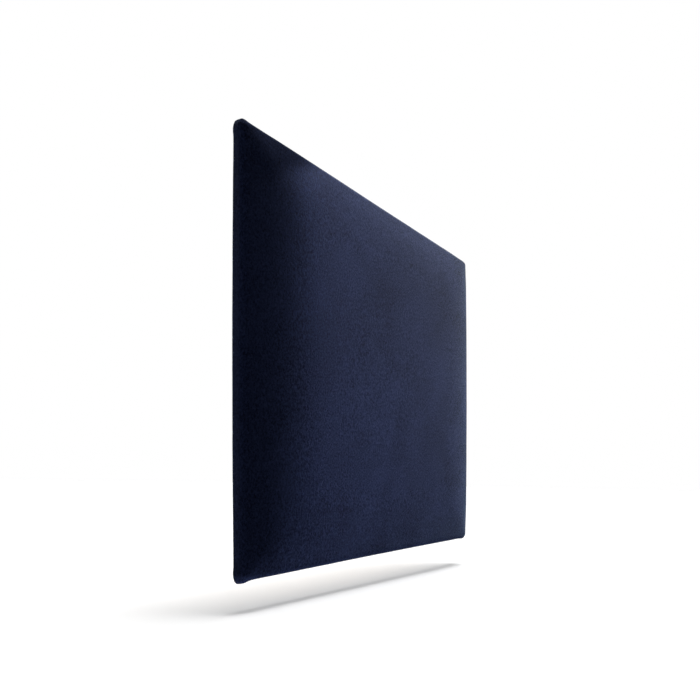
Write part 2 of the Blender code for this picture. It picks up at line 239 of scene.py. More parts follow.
def make_metal(name, bright, dull, bloom_scale, scratches):
    material, tree, shader = new_material(name, 0.50, 1.0)
    place = own_position(tree)
    wear = place_group(
        tree, metal_wear, {"Position": place, "Bloom Scale": bloom_scale, "Scratches": scratches}
    )
    shade = remap(tree, wear["Bloom"], 0.25, 0.75)
    colour = blend_colours(tree, shade, dull, bright)
    dusty = place_group(tree, dust, {"Position": place, "Scale": 700.0, "Amount": 0.25})["Mask"]
    colour = blend_colours(tree, dusty, colour, METAL_DUST)
    tree.links.new(colour, shader.inputs["Base Color"])
    tree.links.new(calculate(tree, "SUBTRACT", 1.0, dusty), shader.inputs["Metallic"])
    plain_rough = remap(tree, shade, 0, 1, 0.62, 0.48)
    rough = calculate(tree, "MULTIPLY_ADD", wear["Height"], 0.3, plain_rough)
    tree.links.new(rough, shader.inputs["Roughness"])
    give_bump(tree, shader, wear["Height"], 0.00002)
    return material


zinc = make_metal("zinc_plated_steel", ZINC_BRIGHT, ZINC_DULL, 420.0, 0.6)
for side in ("left", "right"):
    refinish(f"hanger_plate_{side}", zinc)
    for end in ("upper", "lower"):
        refinish(f"hanger_screw_{side}_{end}", zinc)

# ---------------------------------------------------------------------------------------------
# Foam pad: 20 mm of open-celled foam glued to the board. Its sawn face has a low crown, its
# front edges are rolled over by the pull of the cover, and its surface is all small pores.
# ---------------------------------------------------------------------------------------------
BOARD_HALF = 0.294
BOARD_RADIUS = 0.005
FOAM_BACK = 0.0111
FOAM_THICKNESS = 0.020
ROLL_DEPTH = 0.0146
ROLL_RADIUS = 0.006
CROWN_RUN = 0.045
SIDE_SWELL = np.array([0.0015, -0.0014, 0.0015, -0.0014])  # right, top, left, bottom
CORNER_DROP = 0.002
CORNER_RUN = 0.060
SIDES = np.array([(1, 0), (0, 1), (-1, 0), (0, -1)], dtype=float)
PLAIN_GRID = (0.009, 0.003)  # spacing in the middle of a side and at its ends
FOAM_INSETS = (0.05, 0.15, 0.28)
FOAM_PORES = 0.0001
FOAM_YELLOW = (0.66, 0.60, 0.42)
FOAM_PALE = (0.76, 0.72, 0.56)
FOAM_PORE_DARK = (0.45, 0.40, 0.26)

edge_slope = math.atan((FOAM_THICKNESS - (ROLL_DEPTH - FOAM_BACK) - ROLL_RADIUS) / CROWN_RUN)
crown_rise = FOAM_THICKNESS - (ROLL_DEPTH - FOAM_BACK) - ROLL_RADIUS * math.cos(edge_slope)
crown_fade = crown_rise / math.tan(edge_slope)
roll_end = ROLL_RADIUS * (1 - math.sin(edge_slope))
roll_turn = math.pi / 2 - edge_slope


def graded(coarse, corner, spots=()):
    """Positions from -1 to 1 along a side, closer together at its ends and round the spots."""
    run = np.linspace(-1, 1, 8001) * BOARD_HALF
    spacing = np.minimum(coarse, corner + 0.10 * (BOARD_HALF - np.abs(run)))
    for spot in spots:
        spacing = np.minimum(spacing, 0.0018 + 0.35 * np.maximum(np.abs(run - spot) - 0.008, 0))
    count = np.concatenate([[0], np.cumsum(np.diff(run) / spacing[:-1])])
    cells = 2 * math.ceil(count[-1] / 2)
    marks = np.interp(np.linspace(0, count[-1], cells + 1), count, run) / BOARD_HALF
    return (marks - marks[::-1]) / 2


class Skin:
    """A padded layer of the pad: a grid over its crown, and rows round its edges and its back.

    Every point keeps its side of the pad, how far its row stands from the crown's edge (along,
    below 0 on the crown), how far it is from the corner, and which way is out.
    """

    def __init__(self, offset, marks, rows):
        last = len(marks) - 1
        a, b = (grid.ravel() for grid in np.meshgrid(marks, marks, indexing="ij"))
        rho = np.maximum(np.abs(a), np.abs(b))
        side = np.select([(a >= np.abs(b)), (b >= np.abs(a)), (-a >= np.abs(b))], [0, 1, 2], 3)
        across = np.choose(side, [b, -a, -b, a]) / np.maximum(rho, 1e-9)
        run = (1 - rho) * (BOARD_HALF - roll_end)
        fade = np.exp(-run / crown_fade)
        slope = np.arctan(crown_rise * fade / crown_fade)
        depth = FOAM_BACK + FOAM_THICKNESS - crown_rise * fade + offset * np.cos(slope)
        reach = offset * np.sin(slope) - roll_end - run
        parts = [(side, across, reach, depth, fade, -run)]
        ring_marks = np.tile(marks[:-1], 4)
        ring_sides = np.repeat(np.arange(4), last)
        ones = np.ones(len(ring_marks))
        for reach, depth, swell, along in rows:
            row = [value * ones for value in (reach, depth, swell, along)]
            parts.append((ring_sides, ring_marks, *row))
        joined = [np.concatenate(values) for values in zip(*parts)]
        self.side, across, reach, depth, self.swell, self.along = joined
        self.place(across, reach, depth)
        self.make_faces(last, len(rows))

    def place(self, across, reach, depth):
        """Set each point round the pad's rounded corners, with the swell of its side."""
        half = np.maximum(BOARD_HALF + reach, 0)
        radius = np.minimum(BOARD_RADIUS + np.maximum(reach, -reach / 2), 0.98 * half + 1e-9)
        length = (half - radius) + radius * math.pi / 4
        step = across * length
        straight = half - radius
        sign = np.sign(step)
        over = np.maximum(np.abs(step) - straight, 0)
        turn = over / radius
        normal = SIDES[self.side]
        tangent = np.stack([-normal[:, 1], normal[:, 0]], axis=1)
        on_line = np.minimum(np.abs(step), straight) * sign
        self.out = normal * np.cos(turn)[:, None] + tangent * (sign * np.sin(turn))[:, None]
        flat = normal * straight[:, None] + tangent * on_line[:, None] + self.out * radius[:, None]
        share = np.clip(on_line / np.maximum(straight, 1e-9), -1, 1)
        flat += self.out * (SIDE_SWELL[self.side] * self.swell * (1 - share**2))[:, None]
        from_corner = np.maximum(straight - np.abs(step), 0)
        self.corner = length - np.abs(step)
        lift = CORNER_DROP * self.swell * np.exp(-from_corner / CORNER_RUN)
        self.points = np.stack([flat[:, 0], -depth + lift, flat[:, 1]], axis=1)

    def make_faces(self, last, row_count):
        """Faces between the grid's points, and between each row and the next."""
        size = last + 1
        index = np.arange(size * size).reshape(size, size)
        self.faces = np.stack(
            [index[:-1, :-1], index[1:, :-1], index[1:, 1:], index[:-1, 1:]], axis=-1
        ).reshape(-1, 4)
        edge = np.concatenate(
            [index[last, :-1], index[:0:-1, last], index[0, :0:-1], index[:-1, 0]]
        )
        rings = [edge]
        start = size * size
        for _ in range(row_count):
            rings.append(np.arange(start, start + len(edge)))
            start += len(edge)
        for inner, outer in zip(rings, rings[1:]):
            turn_inner, turn_outer = np.roll(inner, -1), np.roll(outer, -1)
            strip = np.stack([inner, outer, turn_outer, turn_inner], axis=-1)
            self.faces = np.concatenate([self.faces, strip])

    def normals(self):
        """Unit normals that point out of the pad, from the faces round each point."""
        corners = self.points[self.faces]
        flat = np.cross(corners[:, 2] - corners[:, 0], corners[:, 3] - corners[:, 1])
        total = np.zeros_like(self.points)
        for corner in range(4):
            np.add.at(total, self.faces[:, corner], flat)
        return total / np.maximum(np.linalg.norm(total, axis=1), 1e-12)[:, None]

    def mesh(self, name):
        mesh = bpy.data.meshes.new(name)
        mesh.from_pydata(self.points.tolist(), [], self.faces.tolist())
        mesh.shade_smooth()
        return mesh


def roll_rows(offset, steps):
    """Rows from just past the crown's edge round to where the roll meets the side."""
    radius = ROLL_RADIUS + offset
    rows = []
    for turn in np.linspace(roll_turn, 0, steps + 1)[1:]:
        reach = radius * math.cos(turn) - ROLL_RADIUS
        rows.append((reach, ROLL_DEPTH + radius * math.sin(turn), 1.0, radius * (roll_turn - turn)))
    return rows


def wall_rows(offset, bottom, steps):
    """Rows down the side from the roll to this depth. The swelling fades out on the way."""
    top = (ROLL_RADIUS + offset) * roll_turn
    shares = np.linspace(0, 1, steps + 1)[1:]
    drop = ROLL_DEPTH - bottom
    return [(offset, ROLL_DEPTH - drop * s, 1 - s, top + drop * s) for s in shares]


def wobble(points, wavelength, seed):
    """Smooth noise from about -1 to 1 at each point."""
    shift = Vector((seed * 7.31, seed * 3.17, seed * 1.93))
    return np.array([noise.noise(Vector(p) / wavelength + shift) for p in points])


def place_object(name, data):
    """A new object in the scene, at the origin."""
    piece = bpy.data.objects.new(name, data)
    bpy.context.scene.collection.objects.link(piece)
    return piece


def new_piece(name, mesh, material, slot_name, *nodes):
    """A piece that is made here. It rides on the pad's one body and replaces these CAD nodes."""
    piece = place_object(name, mesh)
    mesh.materials.clear()
    mesh.materials.append(material)
    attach(piece, "root")
    if nodes:
        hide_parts(*nodes)
    return piece


def evaluated_mesh(piece):
    """The plain mesh that the piece's modifiers, or its curve, make."""
    graph = bpy.context.evaluated_depsgraph_get()
    return bpy.data.meshes.new_from_object(piece.evaluated_get(graph))


def final_mesh(piece, *modifiers):
    """Give the piece these modifiers, and put the mesh that they make in its place."""
    for kind, settings in modifiers:
        modifier = piece.modifiers.new(kind.lower(), kind)
        for key, value in settings.items():
            setattr(modifier, key, value)
    mesh = evaluated_mesh(piece)
    piece.modifiers.clear()
    old, piece.data = piece.data, mesh
    bpy.data.meshes.remove(old)
    mesh.name = piece.name


def make_foam_material():
    material, tree, shader = new_material("open_cell_foam", 0.95)
    place = own_position(tree)
    cells = add(tree, "ShaderNodeTexVoronoi", {"Vector": place, "Scale": 900.0})
    cells = cells.outputs["Distance"]
    tone = noise_value(tree, place, 11.0, Detail=3.0)
    colour = blend_colours(tree, remap(tree, tone, 0.3, 0.7), FOAM_YELLOW, FOAM_PALE)
    colour = blend_colours(tree, remap(tree, cells, 0.1, 0.5), colour, FOAM_PORE_DARK)
    tree.links.new(colour, shader.inputs["Base Color"])
    shader.inputs["Specular IOR Level"].default_value = 0.2
    give_bump(tree, shader, cells, 0.0004)
    return material


foam_rows = roll_rows(0.0, 4) + wall_rows(0.0, FOAM_BACK, 2)
foam_end = ROLL_RADIUS * roll_turn + ROLL_DEPTH - FOAM_BACK
for inset in FOAM_INSETS:
    foam_rows.append((-inset, FOAM_BACK, 0.0, foam_end + inset))
foam_skin = Skin(0.0, graded(*PLAIN_GRID), foam_rows)
glued = foam_skin.along > foam_end - 0.004
foam_wave = wobble(foam_skin.points, 0.03, 1) * np.where(glued, 0, FOAM_PORES)
foam_skin.points -= foam_skin.normals() * np.abs(foam_wave)[:, None]
foam_mesh = foam_skin.mesh("foam_pad_soft")
foam = new_piece("foam_pad_soft", foam_mesh, make_foam_material(), "foam", "foam_pad")
final_mesh(foam)

# ---------------------------------------------------------------------------------------------
# Wadding: a 2.5 mm sheet of white polyester fibre between foam and velvet, wrapped down the
# edges of the board and cut off there. It is loose and downy, with fibres lying all ways.
# ---------------------------------------------------------------------------------------------
CLEARANCE = 0.0003
WADDING_THICKNESS = 0.0025
WADDING_END = 0.003
WADDING_LOFT = 0.00012
WADDING_GREY = (0.66, 0.66, 0.64)
WADDING_WHITE = (0.88, 0.88, 0.87)

wadding_face = CLEARANCE + WADDING_THICKNESS


def make_wadding_material():
    material, tree, shader = new_material("polyester_wadding", 0.95)
    place = own_position(tree)
    fibres = noise_value(tree, place, 700.0, Detail=5.0, Distortion=6.0)
    tufts = noise_value(tree, place, 45.0, Detail=4.0)
    tone = weigh(tree, fibres, 0.6, tufts, 0.4)
    colour = blend_colours(tree, remap(tree, tone, 0.3, 0.7), WADDING_GREY, WADDING_WHITE)
    tree.links.new(colour, shader.inputs["Base Color"])
    shader.inputs["Specular IOR Level"].default_value = 0.2
    shader.inputs["Sheen Weight"].default_value = 0.3
    give_bump(tree, shader, tone, 0.0006)
    return material


wadding_rows = roll_rows(wadding_face, 4) + wall_rows(wadding_face, WADDING_END, 4)
wadding_skin = Skin(wadding_face, graded(*PLAIN_GRID), wadding_rows)
wadding_wave = wobble(wadding_skin.points, 0.018, 2) * WADDING_LOFT
wadding_skin.points -= wadding_skin.normals() * np.abs(wadding_wave)[:, None]
wadding_mesh = wadding_skin.mesh("wadding_soft")
wadding_finish = make_wadding_material()
wadding = new_piece("wadding_soft", wadding_mesh, wadding_finish, "wadding", "wadding_layer")
final_mesh(wadding, ("SOLIDIFY", {"thickness": WADDING_THICKNESS - 0.0002, "offset": -1.0}))

# ---------------------------------------------------------------------------------------------
# Velvet cover: one piece of navy velvet, 1.5 mm thick with its pile, pulled over the front and
# the sides and stapled to the back. Its corners are folded there and stand a little fat, and
# small puckers run from them onto the front. The pile shimmers where it is seen or lit flat.
# ---------------------------------------------------------------------------------------------
VELVET_THICKNESS = 0.0015
HEM_WIDTH = 0.034
BACK_RADIUS = 0.003
STAPLE_SPOTS = np.linspace(-0.249, 0.249, 8)
STAPLE_LINE = 0.280
CORNER_STAPLE = 0.275
NAVY_DEEP = (0.0030, 0.0052, 0.0210)
# painted shade: the dark navy painted into the creases of the folds and round the staples
NAVY_PAINTED_SHADE = (0.0015, 0.0024, 0.0080)
NAVY_PALE = (0.0270, 0.0395, 0.1080)
LINT_GREY = (0.16, 0.17, 0.22)
PILE_SHINE = (0.56, 0.78, 1.0, 1.0)
STAPLE_ROW_HALF = 0.2774  # half the length of the row of points under the staples
HEM_ROWS = (  # ways in from the back edge, closer together under the staples
    0.003, 0.006, 0.009, 0.0115, 0.0132, 0.0144, 0.0151, 0.0156, 0.0161, 0.0168,
    0.018, 0.020, 0.0225, 0.025, 0.0275, 0.0295,
)
SPARE_VELVET = 0.03
SETTLE_FRAMES = 22
SETTLE_OUT = 0.0006
SETTLE_IN = 0.0003
FAT_LEFT = 0.0027
FAT_RIGHT = 0.0014
CORNER_WEAR = 0.0015
CORNER_PINCH = 0.0002
SIDE_BOW = 0.0017
PUCKER_HEIGHT = 0.00010
FOLD_HEIGHT = 0.0010
STAPLE_REACH = 0.0045  # a staple presses this far to each side of its middle
STAPLE_DENT = 0.00045
CORNER_STAPLE_DENT = 0.0006
HEM_RISE = 0.00035
STAPLE_PULL = 0.00025

velvet_face = wadding_face + CLEARANCE + VELVET_THICKNESS
turn_in = velvet_face - BACK_RADIUS
wall_top = (ROLL_RADIUS + velvet_face) * roll_turn
wall_end = wall_top + ROLL_DEPTH - BACK_RADIUS
hem_start = wall_end + BACK_RADIUS * math.pi / 2

velvet_rows = roll_rows(velvet_face, 7) + wall_rows(velvet_face, BACK_RADIUS, 6)
for turn in np.linspace(0, math.pi / 2, 5)[1:]:
    velvet_rows.append(
        (
            turn_in + BACK_RADIUS * math.cos(turn),
            BACK_RADIUS * (1 - math.sin(turn)),
            0.0,
            wall_end + BACK_RADIUS * turn,
        )
    )
hem_length = turn_in - (velvet_face - HEM_WIDTH)
for distance in (*HEM_ROWS, hem_length):
    velvet_rows.append((turn_in - distance, 0.0, 0.0, hem_start + distance))
velvet_marks = graded(0.0072, 0.0012, STAPLE_SPOTS * BOARD_HALF / STAPLE_ROW_HALF)
velvet = Skin(velvet_face, velvet_marks, velvet_rows)
velvet_base = velvet.points.copy()


def bump_at(value, centre, width):
    return np.exp(-(((value - centre) / width) ** 2))


def smooth_step(value, low, high):
    share = np.clip((value - low) / (high - low), 0, 1)
    return share * share * (3 - 2 * share)


def simulate_cover(skin):
    """Let cloth with a little too much velvet at its corners settle on the wadding."""
    cloth_piece = place_object("cloth", skin.mesh("cloth"))
    pins = cloth_piece.vertex_groups.new(name="pins")
    spare = cloth_piece.vertex_groups.new(name="spare")
    on_front = smooth_step(-skin.along, -0.016, 0.004)
    near = np.exp(-np.hypot(skin.corner, np.minimum(skin.along, 0)) / 0.035)
    hold = np.clip(1 - on_front * (0.45 + 0.45 * near), 0, 1)
    for index, (pin, slack) in enumerate(zip(hold, near * on_front)):
        pins.add([index], float(pin), "REPLACE")
        spare.add([index], float(slack), "REPLACE")
    cloth = cloth_piece.modifiers.new("cloth", "CLOTH")
    settings = cloth.settings
    settings.quality = 6
    settings.mass = 0.2
    settings.tension_stiffness = 12
    settings.compression_stiffness = 12
    settings.shear_stiffness = 4
    settings.bending_stiffness = 0.15
    settings.vertex_group_mass = "pins"
    settings.pin_stiffness = 0.6
    settings.vertex_group_shrink = "spare"
    settings.shrink_min = 0.0
    settings.shrink_max = -SPARE_VELVET
    settings.use_pressure = True
    settings.uniform_pressure_force = 1.5
    settings.effector_weights.gravity = 0
    cloth.point_cache.frame_start = 1
    cloth.point_cache.frame_end = SETTLE_FRAMES
    scene = bpy.context.scene
    for number in range(1, SETTLE_FRAMES + 1):
        scene.frame_set(number)
    graph = bpy.context.evaluated_depsgraph_get()
    settled = cloth_piece.evaluated_get(graph).to_mesh()
    moved = np.zeros(len(settled.vertices) * 3)
    settled.vertices.foreach_get("co", moved)
    moved = moved.reshape(-1, 3) - skin.points
    bpy.data.objects.remove(cloth_piece)
    scene.frame_set(1)
    return moved


def settle(skin, moved, most_out, most_in):
    """Add what the cloth did, along the surface's own normals and within limits."""
    normals = skin.normals()
    out = np.clip((moved * normals).sum(axis=1), -most_in, most_out)
    skin.points += normals * out[:, None]


settle(velvet, simulate_cover(velvet), SETTLE_OUT, SETTLE_IN)

normals = velvet.normals()
corner, along = velvet.corner, velvet.along
on_hem = smooth_step(along, wall_end, hem_start + 0.002)
on_side = smooth_step(along, 0.002, wall_top)
at_corner = np.hypot(corner, np.minimum(along, 0))

# The corners are fat down the sides, where the velvet is folded, and the left ones more so. Their
# front is worn round. Beside them the velvet pulls in, and the upright sides bow out half way up.
off_hem = 1 - on_hem
fat = np.where(velvet_base[:, 0] < 0, FAT_LEFT, FAT_RIGHT) * smooth_step(along, 0.005, 0.014)
fat *= 1 + 0.6 * smooth_step(along, 0.012, wall_end)
worn = CORNER_WEAR * bump_at(along, 0.0, 0.009)
ear = (fat * bump_at(corner, 0.0, 0.0095) - worn * bump_at(corner, 0.0, 0.011)) * off_hem
pinch = -CORNER_PINCH * bump_at(corner, 0.030, 0.016) * smooth_step(along, -0.020, 0.006) * off_hem
tall = np.clip(np.abs(velvet_base[:, 2]) / 0.28, 0, 1)
upright = velvet.side % 2 == 0
bow = SIDE_BOW * (1 - tall**2) * upright * (1 - velvet.swell) * on_side * off_hem

# Small puckers fan out from each corner over the crown's edge.
angle = np.arctan2(np.maximum(-along, 0) + 0.004, corner + 0.004)
fan = np.cos(angle * 13 + velvet.side * 1.7) * bump_at(at_corner, 0.020, 0.022)
puckers = PUCKER_HEIGHT * fan * smooth_step(at_corner, 0.002, 0.014) * off_hem * (along < 0.012)

# Folds: at each corner of the back the upper and lower hems lie over the side hems, which
# have a tuck of their own. The folds go a little way round onto the sides of the pad.
x, z = np.abs(velvet.points[:, 0]), np.abs(velvet.points[:, 2])
across_mitre = (x - z) / math.sqrt(2)
depth = np.maximum(along - hem_start, 0)
lap = 0.0016 + 0.09 * depth + 0.0003 * np.sin(velvet.side * 2.1 + depth * 400)
tuck = 0.0098 + 0.12 * depth
over = smooth_step(lap - across_mitre, -0.0005, 0.0007)
over *= 1 - smooth_step(-across_mitre, 0.003, 0.030)
under = smooth_step(tuck - across_mitre, -0.0005, 0.0007)
under *= 1 - smooth_step(-across_mitre, -0.010, 0.0)
upper_tuck = smooth_step(-across_mitre, 0.0095 + 0.1 * depth, 0.0110 + 0.1 * depth)
folds = FOLD_HEIGHT * np.maximum(over * (1 - 0.45 * upper_tuck), 0.6 * under)
folds *= on_side * (0.25 + 0.75 * on_hem)
# Painted shade: a dark line is painted along the foot of each fold and tuck, where shade would
# fall.
painted_shade_mask = bump_at(lap - across_mitre, 0.0003, 0.0011)
painted_shade_mask = np.maximum(painted_shade_mask, 0.8 * bump_at(tuck - across_mitre, 0.0003, 0.0010))
painted_shade_mask = np.maximum(painted_shade_mask, 0.6 * bump_at(-across_mitre - 0.1 * depth, 0.0100, 0.0011))
painted_shade_mask *= on_side * (0.35 + 0.65 * on_hem)

# The hem is pressed in by each staple, and rides up a little between them.
row_place = np.where(upright, velvet.points[:, 2], velvet.points[:, 0])
staple_gap = np.abs(row_place[:, None] - STAPLE_SPOTS[None, :]).min(axis=1)
from_line = np.maximum(x, z) - STAPLE_LINE
near_staple = np.hypot(np.maximum(staple_gap - STAPLE_REACH, 0), from_line)
corner_gap = (x + z - 2 * CORNER_STAPLE) / math.sqrt(2)
corner_slide = np.abs(x - z) / math.sqrt(2)
near_corner_staple = np.hypot(np.maximum(corner_slide - STAPLE_REACH, 0), corner_gap)
press = -STAPLE_DENT * bump_at(near_staple, 0, 0.0022)
press -= CORNER_STAPLE_DENT * bump_at(near_corner_staple, 0, 0.0024)
between = HEM_RISE * (1 - bump_at(staple_gap, 0, 0.018)) * bump_at(from_line, 0.004, 0.012)
pull = -STAPLE_PULL * bump_at(staple_gap, 0, 0.006)
pull *= smooth_step(along, wall_end - 0.004, hem_start)
folds *= 1 - 0.9 * bump_at(near_corner_staple, 0, 0.0042)
hem_shape = (press + between + pull) * on_hem + pull * 0.4 * on_side * off_hem

# The padding under the velvet is never quite even.
uneven = 0.00016 * wobble(velvet_base, 0.055, 5) + 0.00006 * wobble(velvet_base, 0.014, 6)
uneven *= 1 - 0.5 * on_hem
total = pinch + bow + puckers + folds + hem_shape + uneven
velvet.points += normals * total[:, None]
velvet.points += normals * ear[:, None] * np.array([0.2, 0.2, 1.4])

# The cut edge of the hem isn't quite straight.
edge_share = smooth_step(along, hem_start + 0.018, hem_start + hem_length)
edge_wave = wobble(velvet_base, 0.02, 8) * 0.0012 + wobble(velvet_base, 0.004, 9) * 0.0004
velvet.points[:, 0] += velvet.out[:, 0] * edge_wave * edge_share
velvet.points[:, 2] += velvet.out[:, 1] * edge_wave * edge_share


def make_velvet_material():
    material, tree, shader = new_material("navy_velvet", 1.0)
    place = own_position(tree)
    pile = noise_value(tree, place, 1300.0, Detail=2.0)
    nap_place = stretched_position(tree, (430.0, 430.0, 290.0))
    nap = noise_value(tree, nap_place, 1.0, Detail=4.0, Roughness=0.7)
    strokes = noise_value(tree, place, 9.0, Detail=3.0, Distortion=0.6)
    fine = weigh(tree, pile, 0.3, nap, 0.7)
    tone = weigh(tree, strokes, 0.15, fine, 0.85)
    colour = blend_colours(tree, remap(tree, tone, 0.40, 0.60), NAVY_DEEP, NAVY_PALE)
    lint = place_group(tree, dust, {"Position": place, "Scale": 500.0, "Amount": 0.10})["Mask"]
    colour = blend_colours(tree, lint, colour, LINT_GREY)
    # Painted shade: the creases of the folds and the dents round the staples are painted darker.
    crease = add(tree, "ShaderNodeAttribute", attribute_name="crease").outputs["Fac"]
    colour = blend_colours(tree, calculate(tree, "MULTIPLY", crease, 0.85), colour, NAVY_PAINTED_SHADE)
    tree.links.new(colour, shader.inputs["Base Color"])
    shader.inputs["Specular IOR Level"].default_value = 0.05
    shader.inputs["Sheen Weight"].default_value = 0.30
    shader.inputs["Sheen Roughness"].default_value = 0.20
    shader.inputs["Sheen Tint"].default_value = PILE_SHINE
    give_bump(tree, shader, fine, 0.0008, 0.9)
    return material


velvet_mesh = velvet.mesh("velvet_cover_soft")
# The dents round the staples on the hem get painted shade too.
painted_shade_mask = np.maximum(painted_shade_mask, 0.5 * bump_at(near_staple, 0, 0.0016) * on_hem)
velvet_mesh.attributes.new("crease", "FLOAT", "POINT").data.foreach_set("value", painted_shade_mask)
velvet_finish = make_velvet_material()
cover = new_piece("velvet_cover_soft", velvet_mesh, velvet_finish, "velvet", "velvet_cover")
final_mesh(cover, ("SOLIDIFY", {"thickness": VELVET_THICKNESS - 0.0003, "offset": -1.0}))

# ---------------------------------------------------------------------------------------------
# Staples: galvanised wire, 10 mm across, driven through the hem. A real one is bent from wire
# with round corners, and no two sit at quite the same angle.
# ---------------------------------------------------------------------------------------------
STAPLE_CROWN = 0.010
STAPLE_LEG = 0.006
WIRE_WIDTH = 0.0010
WIRE_THICKNESS = 0.0007
WIRE_BEND = 0.0006
WIRE_CHAMFER = 0.00018
STAPLE_SINK = 0.0001
STAPLE_TILT = 0.03  # radians, either way
STAPLE_SEED = 4
WIRE_BRIGHT = (0.70, 0.70, 0.71)
WIRE_DULL = (0.50, 0.50, 0.52)


def staple_spots():
    """The middle and the turn of every staple, in the order of their CAD pieces."""
    names, places, turns = [], [], []
    for side, sign in (("top", 1), ("bottom", -1)):
        for number, x in enumerate(STAPLE_SPOTS):
            names.append(f"staple_{side}_{number + 1}")
            places.append((x, -STAPLE_SINK, sign * STAPLE_LINE))
            turns.append(0.0)
    for side, sign in (("left", -1), ("right", 1)):
        for number, z in enumerate(STAPLE_SPOTS[::-1]):
            names.append(f"staple_{side}_{number + 1}")
            places.append((sign * STAPLE_LINE, -STAPLE_SINK, z))
            turns.append(math.pi / 2)
    for end, sign_z in (("upper", 1), ("lower", -1)):
        for side, sign_x in (("left", -1), ("right", 1)):
            names.append(f"staple_corner_{end}_{side}")
            places.append((sign_x * CORNER_STAPLE, -STAPLE_SINK, sign_z * CORNER_STAPLE))
            turns.append(sign_x * sign_z * math.pi / 4)
    return names, places, turns


def node_group(name, inputs):
    """A Geometry Nodes group with a mesh in and out and these named inputs."""
    group = bpy.data.node_groups.new(name, "GeometryNodeTree")
    group.interface.new_socket("Mesh", in_out="INPUT", socket_type="NodeSocketGeometry")
    group.interface.new_socket("Mesh", in_out="OUTPUT", socket_type="NodeSocketGeometry")
    for label, (kind, value) in inputs.items():
        socket = group.interface.new_socket(label, in_out="INPUT", socket_type=kind)
        if value is not None:
            socket.default_value = value
    given = group.nodes.new("NodeGroupInput").outputs
    return group, given, group.nodes.new("NodeGroupOutput").inputs


def stored_turn(group):
    """The turn that was worked out for each point."""
    kind = "GeometryNodeInputNamedAttribute"
    return add(group, kind, {"Name": "turn"}, data_type="FLOAT").outputs[0]


def finish_group(group, instances, finish, result):
    """End a group with real meshes in their own material."""
    real = add(group, "GeometryNodeRealizeInstances", {0: instances}).outputs[0]
    links = {"Geometry": real, "Material": finish}
    finished = add(group, "GeometryNodeSetMaterial", links).outputs[0]
    group.links.new(finished, result["Mesh"])


def staple_maker():
    group, given, result = node_group(
        "staples",
        {
            "Wire Mesh": ("NodeSocketObject", None),
            "Tilt": ("NodeSocketFloat", STAPLE_TILT),
            "Seed": ("NodeSocketInt", STAPLE_SEED),
            "Finish": ("NodeSocketMaterial", None),
        },
    )
    wire_info = add(group, "GeometryNodeObjectInfo", {"Object": given["Wire Mesh"]}).outputs
    turn = stored_turn(group)
    tilt = calculate(group, "MULTIPLY", given["Tilt"], -1.0)
    random = add(
        group,
        "FunctionNodeRandomValue",
        {"Min": tilt, "Max": given["Tilt"], "Seed": given["Seed"]},
        data_type="FLOAT",
    )
    spin = calculate(group, "ADD", turn, random.outputs[1])
    rotation = add(group, "ShaderNodeCombineXYZ", {"Y": spin}).outputs[0]
    placed = add(
        group,
        "GeometryNodeInstanceOnPoints",
        {"Points": given["Mesh"], "Instance": wire_info["Geometry"], "Rotation": rotation},
    ).outputs[0]
    finish_group(group, placed, given["Finish"], result)
    return group


def grow(group, points, attributes, values):
    """Run a Geometry Nodes group on loose points and return the plain mesh that it makes."""
    mesh = bpy.data.meshes.new("points")
    mesh.from_pydata(points, [], [])
    for name, data in attributes.items():
        mesh.attributes.new(name, "FLOAT", "POINT").data.foreach_set("value", data)
    holder = place_object("holder", mesh)
    modifier = holder.modifiers.new("nodes", "NODES")
    modifier.node_group = group
    for item in group.interface.items_tree:
        if item.in_out == "INPUT" and item.name in values:
            modifier[item.identifier] = values[item.name]
    made = evaluated_mesh(holder)
    bpy.data.objects.remove(holder)
    return made


def poly_curve(name, dimensions, places):
    """A curve of straight runs through these places."""
    curve = bpy.data.curves.new(name, "CURVE")
    curve.dimensions = dimensions
    spline = curve.splines.new("POLY")
    spline.points.add(len(places) - 1)
    for point, place in zip(spline.points, places):
        point.co = (*place, 1)
    return curve


def bent_wire():
    """One staple round the origin: a rectangular wire swept round two bends."""
    half = STAPLE_CROWN / 2 - WIRE_THICKNESS / 2
    top = -WIRE_THICKNESS / 2
    line = [(-half, -STAPLE_LEG, 0)]
    for sign, start in ((-1, math.pi), (1, math.pi / 2)):
        for step in range(5):
            turn = start - step / 4 * math.pi / 2
            bend_x = sign * (half - WIRE_BEND) + WIRE_BEND * math.cos(turn)
            line.append((bend_x, top - WIRE_BEND + WIRE_BEND * math.sin(turn), 0))
    line.append((half, -STAPLE_LEG, 0))
    corners = []
    cut = WIRE_CHAMFER
    for sx, sy in ((1, 1), (-1, 1), (-1, -1), (1, -1)):
        first, second = ((cut, 0), (0, cut)) if sx == sy else ((0, cut), (cut, 0))
        for dx, dy in (second, first):
            corners.append((sx * (WIRE_THICKNESS / 2 - dx), sy * (WIRE_WIDTH / 2 - dy), 0))
    section = poly_curve("section", "2D", corners)
    section.splines[0].use_cyclic_u = True
    section_piece = place_object("section", section)
    curve = poly_curve("wire", "3D", line)
    curve.bevel_mode = "OBJECT"
    curve.bevel_object = section_piece
    curve.use_fill_caps = True
    wire_piece = place_object("wire", curve)
    mesh = evaluated_mesh(wire_piece)
    bpy.data.objects.remove(wire_piece)
    bpy.data.objects.remove(section_piece)
    mesh.shade_smooth()
    mesh.set_sharp_from_angle(angle=math.radians(50))
    return place_object("wire_mesh", mesh)


staple_wire = make_metal("staple_wire", WIRE_BRIGHT, WIRE_DULL, 900.0, 0.8)
staple_names, staple_points, staple_turns = staple_spots()
one_staple = bent_wire()
staple_mesh = grow(
    staple_maker(),
    staple_points,
    {"turn": staple_turns},
    {"Wire Mesh": one_staple, "Tilt": STAPLE_TILT, "Seed": STAPLE_SEED, "Finish": staple_wire},
)
bpy.data.objects.remove(one_staple)
new_piece("staples_bent", staple_mesh, staple_wire, "staple_wire", *staple_names)

